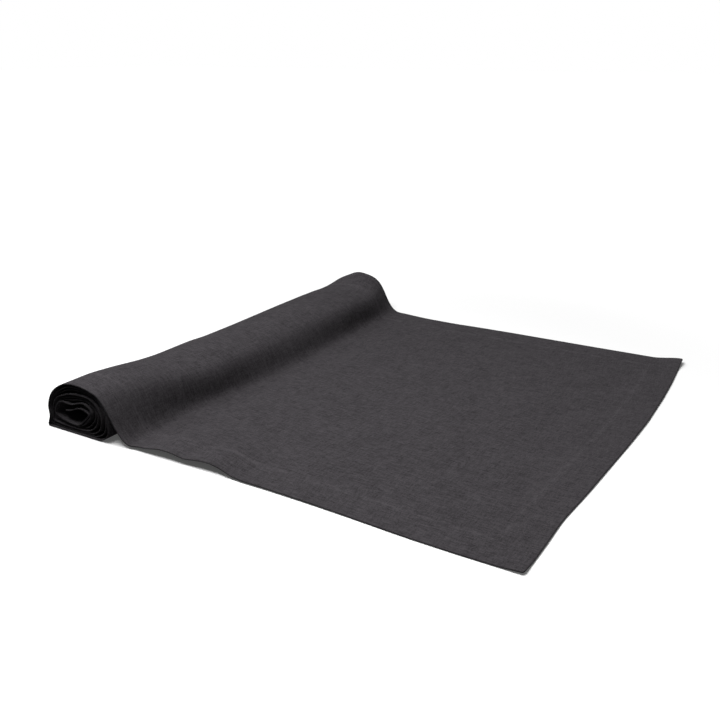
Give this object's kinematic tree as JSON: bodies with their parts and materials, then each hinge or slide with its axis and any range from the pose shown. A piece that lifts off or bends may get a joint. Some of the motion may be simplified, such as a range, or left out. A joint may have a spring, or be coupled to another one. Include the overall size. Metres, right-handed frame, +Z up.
{
  "type": "table runner",
  "caption": "Hemmed plain linen table runner, half unrolled: a flat laid part with mitred hems, and the rest wound into a loose hollow roll.",
  "frame": {"origin": "middle of the part's box in plan, at the height of the surface that the runner lies on", "axes": "+X along the cloth from the roll to the free end, +Y across the runner from its near edge to its far edge, +Z up"},
  "size_m": [0.4468, 0.45, 0.0458],
  "materials": {
    "linen": "matte",
    "turned_linen": "matte",
    "sewing_thread": "satin"
  },
  "bodies": {
    "root": {"laid_panel": "linen", "slope_panel": "linen", "roll_turn_1": "linen", "roll_turn_2": "linen", "roll_turn_3": "linen", "roll_turn_4": "linen", "roll_turn_5": "linen", "roll_turn_6": "linen", "tucked_end": "linen", "near_hem_wound": "turned_linen", "far_hem_wound": "turned_linen", "near_hem_laid": "turned_linen", "far_hem_laid": "turned_linen", "free_end_hem": "turned_linen", "inner_end_hem": "turned_linen", "near_side_stitching": "sewing_thread", "far_side_stitching": "sewing_thread", "free_end_stitching": "sewing_thread", "inner_end_stitching": "sewing_thread", "near_free_mitre_seam": "sewing_thread", "near_inner_mitre_seam": "sewing_thread", "far_free_mitre_seam": "sewing_thread", "far_inner_mitre_seam": "sewing_thread"}
  },
  "joints": []
}
